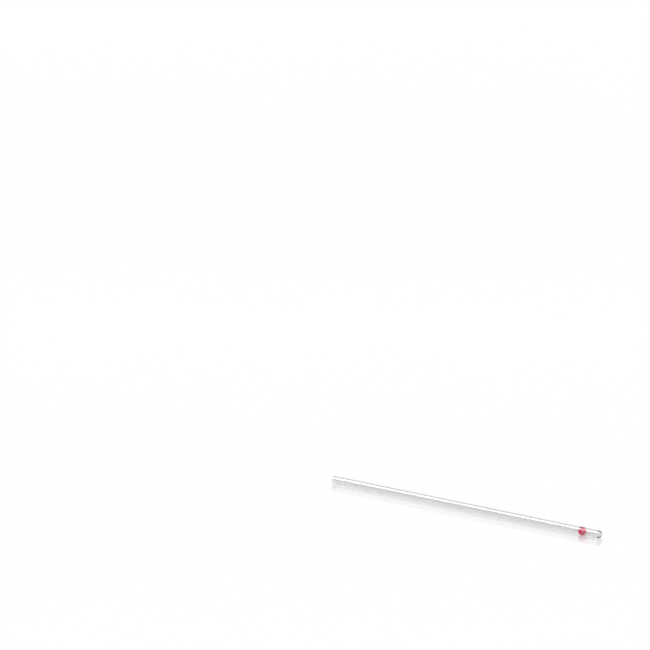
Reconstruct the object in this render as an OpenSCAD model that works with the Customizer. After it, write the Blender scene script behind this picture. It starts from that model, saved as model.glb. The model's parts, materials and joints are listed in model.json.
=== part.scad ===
// Glass capillary tube with a fired-on colour ring, lying on its side.
// The tube runs along X and the ring is near its +X end. The origin is on
// the surface that the tube lies on, under the middle of its length.
// Millimetres, with +Z up.

/* [Tube] */
// Length over both polished rims
tube_length = 75; // [20:0.5:150]
// Diameter of the bore
bore_d = 1.2; // [0.6:0.05:2]
// Thickness of the glass wall
wall = 0.22; // [0.1:0.01:0.5]

/* [Polished rims] */
// How far each melted rim swells into the bore
rim_swell = 0.03; // [0.01:0.005:0.05]
// Radius of the hollow blend from the rim to the bore
rim_blend_r = 0.25; // [0.1:0.05:0.25]

/* [Colour ring] */
// Distance from the tip of the marked end to the middle of the ring
ring_from_tip = 4.6; // [3:0.1:15]
// Width of the ring along the tube
ring_width = 1.0; // [0.5:0.1:4]
// Thickness of the fired ink on the glass
ring_ink = 0.02; // [0.01:0.005:0.05]

/* [Colours] */
// Colour of the glass
glass_colour = "azure"; // [azure, aliceblue, lightcyan]
// Colour of the ring
ring_colour = "crimson"; // [crimson, royalblue, seagreen, black]

/* [Hidden] */
$fn = 96;
// The blend bites this far into what it touches, so that no sliver is left.
blend_bite = 0.0002;

bore_r = bore_d / 2;
tube_r = bore_r + wall;
half_length = tube_length / 2;

// The melted rim is a full round, flush with the outside of the tube.
rim_r = (wall + rim_swell) / 2;
rim_centre_r = tube_r - rim_r;
rim_from_middle = half_length - rim_r;

// The blend's arc touches the rim's round and the wall of the bore.
blend_centre_r = bore_r - rim_blend_r;
blend_reach = sqrt(
    pow(rim_r + rim_blend_r, 2) - pow(rim_centre_r - blend_centre_r, 2)
);
blend_from_middle = rim_from_middle - blend_reach;

ring_from_middle = half_length - ring_from_tip;
ring_r = tube_r + ring_ink;

// The ring is the lowest thing on the tube, so it sets the height.
axis_height = ring_r;

// Turns a profile, drawn with its radius along X and its length along Y,
// into a solid of revolution along the tube's axis.
module turned_on_axis() {
    translate([0, 0, axis_height])
        rotate([0, 90, 0])
            rotate_extrude()
                children();
}

// Half of the wall's section, from the middle of the tube to one rim.
module half_section() {
    translate([bore_r, 0])
        square([wall, rim_from_middle]);
    translate([rim_centre_r, rim_from_middle])
        circle(r = rim_r);
    rim_blend();
}

// The fillet between the rim and the bore: the patch that the two centres
// enclose with the middle of the rim, less the round that rolls in it.
module rim_blend() {
    difference() {
        polygon([
            [blend_centre_r, blend_from_middle],
            [rim_centre_r, blend_from_middle],
            [rim_centre_r, rim_from_middle],
        ]);
        translate([blend_centre_r, blend_from_middle])
            circle(r = rim_blend_r + blend_bite);
    }
}

module glass_tube() {
    color(glass_colour, 0.4)
        turned_on_axis() {
            half_section();
            mirror([0, 1])
                half_section();
        }
}

module colour_ring() {
    color(ring_colour)
        turned_on_axis()
            translate([tube_r, ring_from_middle - ring_width / 2])
                square([ring_ink, ring_width]);
}

glass_tube();
colour_ring();
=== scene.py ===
"""A glass capillary tube with a fired-on colour ring, lying on a white table.

The glass and the ink are turned meshes that stand for the two CAD nodes.
All lengths are in metres, in the frame of the CAD model: +X runs along the
tube towards the ring, +Z is up and the table is at zero.
"""

import json
import math

import bmesh
import bpy
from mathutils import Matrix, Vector


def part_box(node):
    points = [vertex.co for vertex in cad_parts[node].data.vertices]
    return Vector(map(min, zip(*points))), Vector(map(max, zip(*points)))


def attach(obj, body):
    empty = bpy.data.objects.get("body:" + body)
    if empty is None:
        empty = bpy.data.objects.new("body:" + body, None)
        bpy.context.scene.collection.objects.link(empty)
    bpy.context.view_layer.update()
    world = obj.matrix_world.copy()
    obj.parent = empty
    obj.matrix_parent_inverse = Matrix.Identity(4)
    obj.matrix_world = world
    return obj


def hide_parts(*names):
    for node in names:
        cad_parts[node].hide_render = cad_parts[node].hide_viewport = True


MM = 0.001
WHITE = (1.0, 1.0, 1.0, 1.0)

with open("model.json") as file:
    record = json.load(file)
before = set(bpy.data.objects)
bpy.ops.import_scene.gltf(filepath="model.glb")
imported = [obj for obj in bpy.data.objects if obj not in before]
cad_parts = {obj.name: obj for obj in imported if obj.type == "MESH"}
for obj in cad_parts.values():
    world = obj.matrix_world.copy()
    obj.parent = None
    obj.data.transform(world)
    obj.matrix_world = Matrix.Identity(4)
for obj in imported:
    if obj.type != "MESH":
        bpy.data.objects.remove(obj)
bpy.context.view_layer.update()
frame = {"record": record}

# ---- Sizes ----------------------------------------------------------------

mounts = {mount["name"]: mount for mount in frame["record"]["mounts"]}
glass_low, glass_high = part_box("glass_tube")
ring_low, ring_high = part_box("colour_ring")

TUBE_R = mounts["outside"]["dims"]["r_mm"] * MM
BORE_R = mounts["bore"]["dims"]["r_mm"] * MM
AXIS_HEIGHT = mounts["bore"]["pos_m"][2]
HALF_LENGTH = (glass_high.x - glass_low.x) / 2

# The frame doesn't hold these two, so they repeat the CAD model's.
RIM_SWELL = 0.03 * MM
RIM_BLEND_R = 0.25 * MM

# The tube lies on its ring, so the ring's radius is the axis's height.
RING_R = AXIS_HEIGHT
RING_FROM = ring_low.x
RING_TO = ring_high.x

# How deep the inside of the ring's mesh lies in the glass.
RING_SINK = 0.003 * MM

# Steps in the meshes: round the tube, along it, and over each small round.
SIDES = 160
STATIONS = 40
RIM_STEPS = 24
BLEND_STEPS = 12
SHOULDER_STEPS = 6


# ---- Nodes ----------------------------------------------------------------


def new_material(name):
    """An empty node material, with its tree and its output."""
    material = bpy.data.materials.new(name)
    material.use_nodes = True
    tree = material.node_tree
    tree.nodes.clear()
    output = tree.nodes.new("ShaderNodeOutputMaterial")
    return material, tree, output


def add(tree, kind, **values):
    """A new node, with its inputs set by name."""
    node = tree.nodes.new(kind)
    for name, value in values.items():
        node.inputs[name.replace("_", " ")].default_value = value
    return node


def noise(tree, place, scale, axes=(1.0, 1.0, 1.0)):
    """Noise with scale cells to a metre, times a factor for each axis."""
    mapping = add(tree, "ShaderNodeMapping", Scale=axes)
    tree.links.new(place, mapping.inputs["Vector"])
    texture = add(tree, "ShaderNodeTexNoise", Scale=scale, Detail=2.0)
    tree.links.new(mapping.outputs["Vector"], texture.inputs["Vector"])
    return texture.outputs["Fac"]


def bump(tree, shader, height, strength, distance):
    """Bumps a shader's surface by a height."""
    node = add(tree, "ShaderNodeBump", Strength=strength, Distance=distance)
    tree.links.new(height, node.inputs["Height"])
    tree.links.new(node.outputs["Normal"], shader.inputs["Normal"])


def ramp(tree, factor, stops):
    """A colour ramp from (position, colour) stops."""
    node = tree.nodes.new("ShaderNodeValToRGB")
    elements = node.color_ramp.elements
    while len(elements) < len(stops):
        elements.new(0.5)
    for element, (position, colour) in zip(elements, stops):
        element.position = position
        element.color = (*colour, 1.0)
    tree.links.new(factor, node.inputs["Fac"])
    return node.outputs["Color"]


def to_range(tree, value, low, high):
    """Maps a value from 0..1 to low..high."""
    node = tree.nodes.new("ShaderNodeMapRange")
    node.inputs["To Min"].default_value = low
    node.inputs["To Max"].default_value = high
    tree.links.new(value, node.inputs["Value"])
    return node.outputs["Result"]


def maths(tree, operation, *values):
    """A maths node. Each value is a number or another node's output."""
    node = tree.nodes.new("ShaderNodeMath")
    node.operation = operation
    for socket, value in zip(node.inputs, values):
        if isinstance(value, (int, float)):
            socket.default_value = value
        else:
            tree.links.new(value, socket)
    return node.outputs["Value"]


def choose(tree, where, others, chosen):
    """The chosen shader where a factor is one, and the others elsewhere."""
    either = tree.nodes.new("ShaderNodeMixShader")
    tree.links.new(where, either.inputs["Fac"])
    tree.links.new(others.outputs[0], either.inputs[1])
    tree.links.new(chosen.outputs[0], either.inputs[2])
    return either


# ---- Materials ------------------------------------------------------------

GLASS_TINT = (0.92, 0.92, 0.922, 1.0)
SHADOW_TINT = (0.8, 0.8, 0.8, 1.0)

# The draw lines' cells are 0.2 mm wide and drawn out along the tube.
LINE_SCALE = 5000.0
LINE_AXES = (0.002, 1.0, 1.0)

INK_DARK = (0.30, 0.005, 0.033)
INK_LIGHT = (0.39, 0.009, 0.048)
INK_ROUGHNESS = (0.12, 0.26)
MOTTLE_SCALE = 5000.0
GRAIN_SCALE = 20000.0


def glass_material():
    """Clear drawn glass, with faint draw lines along the tube."""
    material, tree, output = new_material("clear_drawn_glass")
    place = add(tree, "ShaderNodeTexCoord").outputs["Object"]
    glass = add(
        tree,
        "ShaderNodeBsdfPrincipled",
        Base_Color=GLASS_TINT,
        Roughness=0.0,
        IOR=1.5,
        Transmission_Weight=1.0,
    )
    lines = noise(tree, place, LINE_SCALE, LINE_AXES)
    bump(tree, glass, lines, strength=0.04, distance=0.004 * MM)

    # Lamps shine straight through the glass, which keeps its shadow light.
    lamp_way = add(tree, "ShaderNodeBsdfTransparent", Color=SHADOW_TINT)
    rays = tree.nodes.new("ShaderNodeLightPath")
    either = choose(tree, rays.outputs["Is Shadow Ray"], glass, lamp_way)
    tree.links.new(either.outputs["Shader"], output.inputs["Surface"])
    return material


def ink_material():
    """Crimson ink fired on to the glass: glossy, translucent and a little uneven."""
    material, tree, output = new_material("fired_red_ink")
    place = add(tree, "ShaderNodeTexCoord").outputs["Object"]
    ink = add(
        tree,
        "ShaderNodeBsdfPrincipled",
        IOR=1.65,
        Subsurface_Weight=1.0,
        Subsurface_Radius=(1.0, 0.15, 0.25),
        Subsurface_Scale=0.5 * MM,
    )
    mottle = noise(tree, place, MOTTLE_SCALE)
    colour = ramp(tree, mottle, [(0.3, INK_DARK), (0.7, INK_LIGHT)])
    tree.links.new(colour, ink.inputs["Base Color"])
    tree.links.new(to_range(tree, mottle, *INK_ROUGHNESS), ink.inputs["Roughness"])
    bump(tree, ink, noise(tree, place, GRAIN_SCALE), strength=0.2, distance=0.002 * MM)
    tree.links.new(ink.outputs["BSDF"], output.inputs["Surface"])
    return material


def table_material():
    """White table top with a soft gloss."""
    material, tree, output = new_material("white_table")
    top = add(
        tree,
        "ShaderNodeBsdfPrincipled",
        Base_Color=WHITE,
        Roughness=0.09,
        IOR=1.45,
    )
    tree.links.new(top.outputs["BSDF"], output.inputs["Surface"])
    return material


# ---- Meshes ---------------------------------------------------------------


def new_object(name, data):
    """A new object that shows the data, linked into the scene."""
    piece = bpy.data.objects.new(name, data)
    bpy.context.scene.collection.objects.link(piece)
    return piece


def arc(centre, radius, start, end, steps):
    """Points (x, r) on an arc about centre, between two angles in radians."""
    points = []
    for i in range(steps + 1):
        angle = start + (end - start) * i / steps
        points.append((centre[0] + radius * math.cos(angle), centre[1] + radius * math.sin(angle)))
    return points


def turned(name, profile, material):
    """A closed profile of (x, r) points, turned about the tube's axis."""
    mesh = bmesh.new()
    rows = []
    for i in range(SIDES):
        angle = 2 * math.pi * i / SIDES
        across, up = math.sin(angle), math.cos(angle)
        rows.append([mesh.verts.new((x, r * across, AXIS_HEIGHT + r * up)) for x, r in profile])
    for i in range(SIDES):
        here, there = rows[i], rows[(i + 1) % SIDES]
        for j in range(len(profile)):
            k = (j + 1) % len(profile)
            mesh.faces.new((here[j], here[k], there[k], there[j]))
    bmesh.ops.recalc_face_normals(mesh, faces=mesh.faces)
    data = bpy.data.meshes.new(name)
    mesh.to_mesh(data)
    mesh.free()
    for face in data.polygons:
        face.use_smooth = True
    data.materials.append(material)
    return new_object(name, data)


def rim_profile():
    """Half of the wall's section at +X, from the outside round to the bore."""
    rim_r = (TUBE_R - BORE_R + RIM_SWELL) / 2
    rim = (HALF_LENGTH - rim_r, TUBE_R - rim_r)
    blend_centre_r = BORE_R - RIM_BLEND_R
    reach = math.sqrt((rim_r + RIM_BLEND_R) ** 2 - (rim[1] - blend_centre_r) ** 2)
    blend = (rim[0] - reach, blend_centre_r)
    lean = math.atan2(rim[1] - blend[1], rim[0] - blend[0])
    round_end = arc(rim, rim_r, math.pi / 2, lean - math.pi, RIM_STEPS)
    hollow = arc(blend, RIM_BLEND_R, lean, math.pi / 2, BLEND_STEPS)
    return round_end + hollow[1:]


def glass_tube():
    """The drawn tube with its two polished rims."""
    half = rim_profile()
    start, end = half[0][0], half[-1][0]
    outside = [(start * (2 * i / STATIONS - 1), TUBE_R) for i in range(1, STATIONS)]
    bore = [(end * (1 - 2 * i / STATIONS), BORE_R) for i in range(1, STATIONS)]
    mirrored = [(-x, r) for x, r in reversed(half)]
    return turned("drawn_glass_tube", outside + half + bore + mirrored, glass_material())


def colour_ring():
    """The band of ink round the glass, with soft shoulders."""
    shoulder = RING_R - TUBE_R
    inner = TUBE_R - RING_SINK
    left = arc((RING_FROM + shoulder, TUBE_R), shoulder, math.pi, math.pi / 2, SHOULDER_STEPS)
    right = arc((RING_TO - shoulder, TUBE_R), shoulder, math.pi / 2, 0.0, SHOULDER_STEPS)
    profile = [(RING_FROM, inner)] + left + right + [(RING_TO, inner)]
    return turned("fired_colour_ring", profile, ink_material())


# ---- Table and studio -----------------------------------------------------

TABLE_SIDE = 12.0

# How light the studio's upper walls are, against elevation in degrees.
CEILING = [
    (0.0, 1.0),
    (11.0, 1.0),
    (12.5, 0.3),
    (18.0, 0.3),
    (22.0, 0.5),
    (50.0, 0.5),
    (60.0, 1.0),
]

# The softbox's azimuth and elevation in degrees.
SOFTBOX_AT = (297.0, 43.0)
SOFTBOX_FALL_OFF = 28.0
SOFTBOX_BRIGHTNESS = 13.0

# In a world's nodes a ray's depth is one more than its bounces, so it is two
# for what the first surface mirrors.
PAST_FIRST_SURFACE = 2.5

# Transmission depths: a ray that the glass has bent, and one that has gone
# through both walls of the tube.
BENT = 0.5
RIGHT_THROUGH = 3.5


def table():
    """A white table top, wide enough to fill the photograph's view."""
    half = TABLE_SIDE / 2
    data = bpy.data.meshes.new("table_top")
    corners = [(-half, -half, 0), (half, -half, 0), (half, half, 0), (-half, half, 0)]
    data.from_pydata(corners, [], [(0, 1, 2, 3)])
    data.materials.append(table_material())
    new_object("table_top", data)


def aim(azimuth, elevation):
    """The way to a place in the studio, turned from -Y towards +X and raised."""
    turn, rise = math.radians(azimuth), math.radians(elevation)
    level = math.cos(rise)
    return Vector((math.sin(turn) * level, -math.cos(turn) * level, math.sin(rise)))


def background(tree, strength=None):
    """A background shader, white or with a linked strength."""
    node = add(tree, "ShaderNodeBackground", Color=WHITE)
    if strength is not None:
        tree.links.new(strength, node.inputs["Strength"])
    return node


def ceiling(tree, way):
    """White walls up to a little above the table, grey above them and white overhead."""
    split = tree.nodes.new("ShaderNodeSeparateXYZ")
    tree.links.new(way, split.inputs["Vector"])
    stops = []
    for elevation, grey in CEILING:
        stops.append((math.sin(math.radians(elevation)), (grey,) * 3))
    return background(tree, ramp(tree, split.outputs["Z"], stops))


def softbox(tree, way):
    """White walls with a softbox in them, brightest in its middle."""
    cosine = tree.nodes.new("ShaderNodeVectorMath")
    cosine.operation = "DOT_PRODUCT"
    cosine.inputs[1].default_value = aim(*SOFTBOX_AT)
    tree.links.new(way, cosine.inputs[0])
    near = maths(tree, "MAXIMUM", cosine.outputs["Value"], 0.0)
    glow = maths(tree, "POWER", near, SOFTBOX_FALL_OFF)
    return background(tree, maths(tree, "MULTIPLY_ADD", glow, SOFTBOX_BRIGHTNESS, 1.0))


def past_first_surface(tree, way, rays):
    """Grey upper walls for the rays that the glass has bent or turned back.

    Those that go straight past it, or right through the tube, meet white.
    """
    white = background(tree)
    depth = rays.outputs["Transmission Depth"]
    bent = maths(tree, "GREATER_THAN", depth, BENT)
    through = maths(tree, "GREATER_THAN", depth, RIGHT_THROUGH)
    straight = maths(tree, "MULTIPLY", through, rays.outputs["Is Transmission Ray"])
    walls = choose(tree, bent, white, ceiling(tree, way))
    return choose(tree, straight, walls, white)


def studio():
    """A white studio, which lights nothing by itself.

    Its grey upper walls show only in what the glass bends or turns back, and
    its softbox only where a surface in plain view mirrors it.
    """
    world = bpy.data.worlds.new("studio")
    bpy.context.scene.world = world
    world.use_nodes = True
    tree = world.node_tree
    tree.nodes.clear()
    output = tree.nodes.new("ShaderNodeOutputWorld")
    way = add(tree, "ShaderNodeTexCoord").outputs["Generated"]
    rays = tree.nodes.new("ShaderNodeLightPath")
    later = maths(tree, "GREATER_THAN", rays.outputs["Ray Depth"], PAST_FIRST_SURFACE)
    seen = choose(tree, later, softbox(tree, way), past_first_surface(tree, way, rays))
    unlit = add(tree, "ShaderNodeBackground", Strength=0.0)
    shader = choose(tree, rays.outputs["Is Diffuse Ray"], seen, unlit)
    tree.links.new(shader.outputs[0], output.inputs["Surface"])
    world.cycles.sampling_method = "NONE"


def lamp(name, azimuth, elevation, spread, level):
    """A soft distant lamp. level is what it adds to a white table's brightness.

    It isn't mirrored: what shows in the glass is the studio.
    """
    data = bpy.data.lights.new(name, "SUN")
    data.angle = math.radians(spread)
    data.energy = math.pi * level / math.sin(math.radians(elevation))
    light = new_object(name, data)
    light.rotation_euler = aim(azimuth, elevation).to_track_quat("Z", "Y").to_euler()
    light.visible_glossy = False
    light.visible_transmission = False


def lights():
    """Soft light from before and behind, with a dome of fill."""
    lamp("front", azimuth=42.0, elevation=14.6, spread=10.0, level=0.34)
    lamp("back", azimuth=222.0, elevation=25.0, spread=14.0, level=0.30)
    lamp("dome", azimuth=0.0, elevation=90.0, spread=170.0, level=0.36)


# ---- Camera ---------------------------------------------------------------

IMAGE_SIDE = 650
SENSOR = 36.0
FOCAL_PX = 4750.0

# Degrees: turned from +Y towards -X, and tilted down.
CAMERA_TURN = 41.915
CAMERA_TILT = 11.5

# How deep in the view the middle of the tube is, and its place in the image.
CAMERA_DISTANCE = 1.0258
TUBE_MIDDLE_PX = (463.75, 506.31)


def camera():
    """The photograph's view: a long lens, with the tube low on the right."""
    data = bpy.data.cameras.new("camera")
    data.sensor_width = SENSOR
    data.lens = FOCAL_PX * SENSOR / IMAGE_SIDE
    turn, tilt = math.radians(CAMERA_TURN), math.radians(CAMERA_TILT)
    level = math.cos(tilt)
    right = Vector((math.cos(turn), math.sin(turn), 0))
    forward = Vector((-math.sin(turn) * level, math.cos(turn) * level, -math.sin(tilt)))
    up = right.cross(forward)
    across = (TUBE_MIDDLE_PX[0] - IMAGE_SIDE / 2) / FOCAL_PX
    down = (TUBE_MIDDLE_PX[1] - IMAGE_SIDE / 2) / FOCAL_PX
    ray = forward + right * across - up * down
    view = new_object("camera", data)
    view.location = Vector((0, 0, AXIS_HEIGHT)) - ray * CAMERA_DISTANCE
    view.rotation_euler = (math.pi / 2 - tilt, 0, turn)
    bpy.context.scene.camera = view


# ---- The scene ------------------------------------------------------------

camera()
table()
studio()
lights()

tube = glass_tube()
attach(tube, "root")
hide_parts("glass_tube")

ring = colour_ring()
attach(ring, "root")
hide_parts("colour_ring")

bpy.context.scene.view_settings.view_transform = "Standard"
